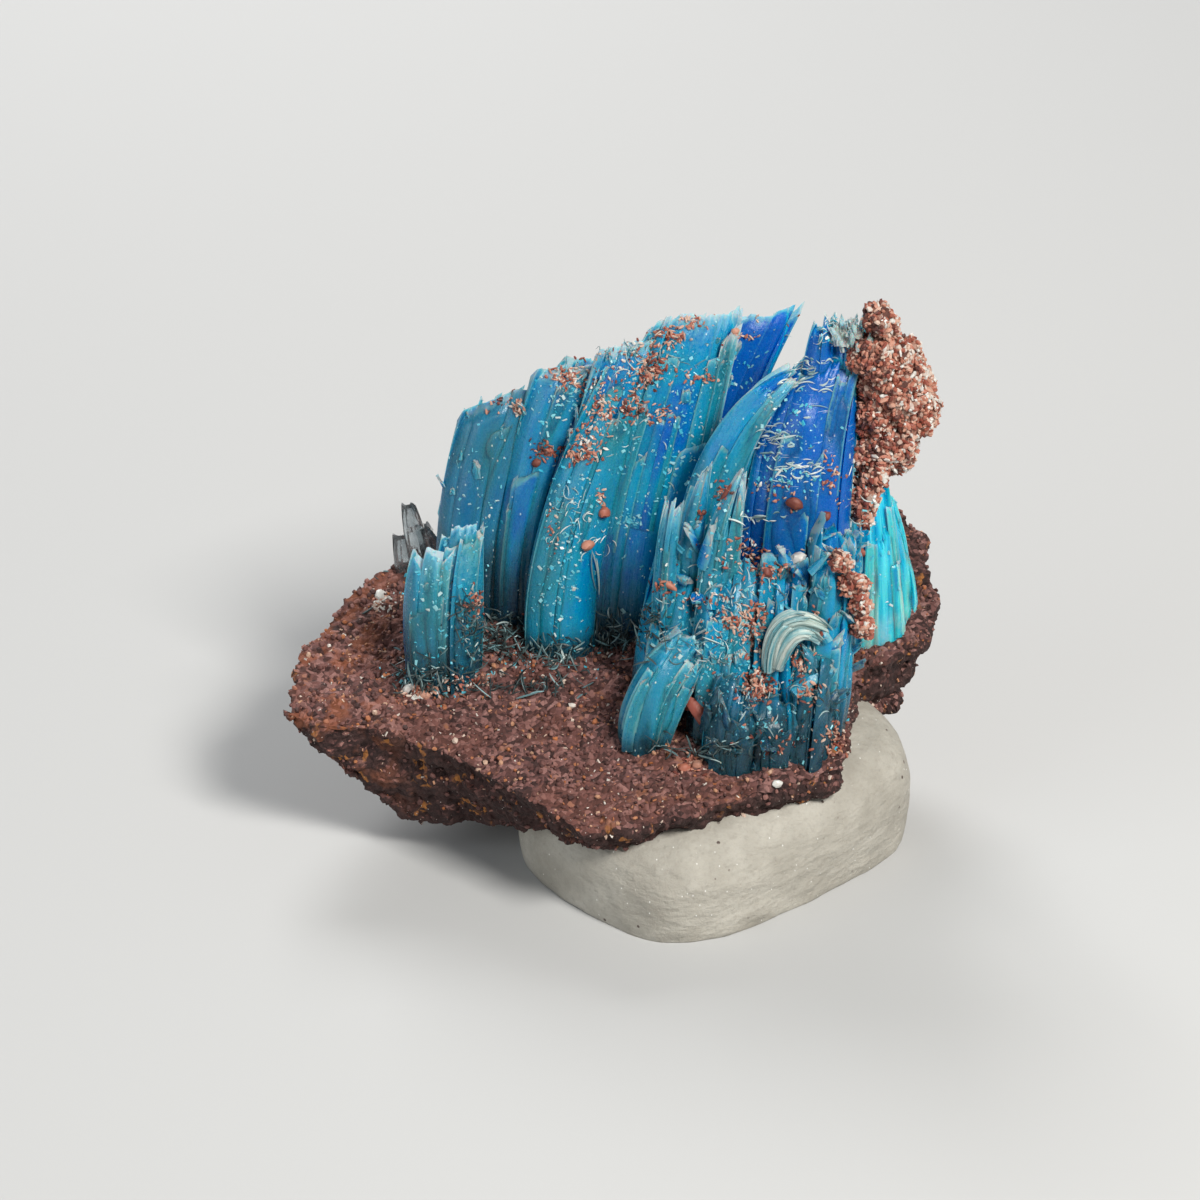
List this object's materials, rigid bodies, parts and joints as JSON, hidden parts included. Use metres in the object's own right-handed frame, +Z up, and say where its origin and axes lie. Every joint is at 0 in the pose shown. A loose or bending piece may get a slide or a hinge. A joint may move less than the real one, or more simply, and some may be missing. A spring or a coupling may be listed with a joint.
{
  "type": "chalcanthite crystal specimen",
  "caption": "Chalcanthite mineral specimen: curved blue crystal blades on a red-brown sandstone slab, held level by a flat-bottomed lump of mounting putty.",
  "frame": {"origin": "centre of the putty's flat underside, which is what the specimen stands on", "axes": "+X to the right seen from the front, +Y away from the front, +Z up"},
  "size_m": [0.0358, 0.0265, 0.03],
  "materials": {
    "red_sandstone": "matte",
    "putty": "matte",
    "sky_blue_crystal": "satin",
    "deep_blue_crystal": "gloss",
    "bright_cyan_crystal": "satin",
    "pale_green_crystal": "matte",
    "smoky_clear_crystal": "gloss",
    "crust": "matte"
  },
  "bodies": {
    "root": {"sandstone_slab": "red_sandstone", "mounting_putty": "putty", "main_fan": "sky_blue_crystal", "left_sheaf": "sky_blue_crystal", "right_cluster": "sky_blue_crystal", "back_blade": "deep_blue_crystal", "far_slab": "bright_cyan_crystal", "pale_curl": "pale_green_crystal", "clear_crystals": "smoky_clear_crystal", "crust_cap": "crust", "crust_strip": "crust"}
  },
  "joints": []
}
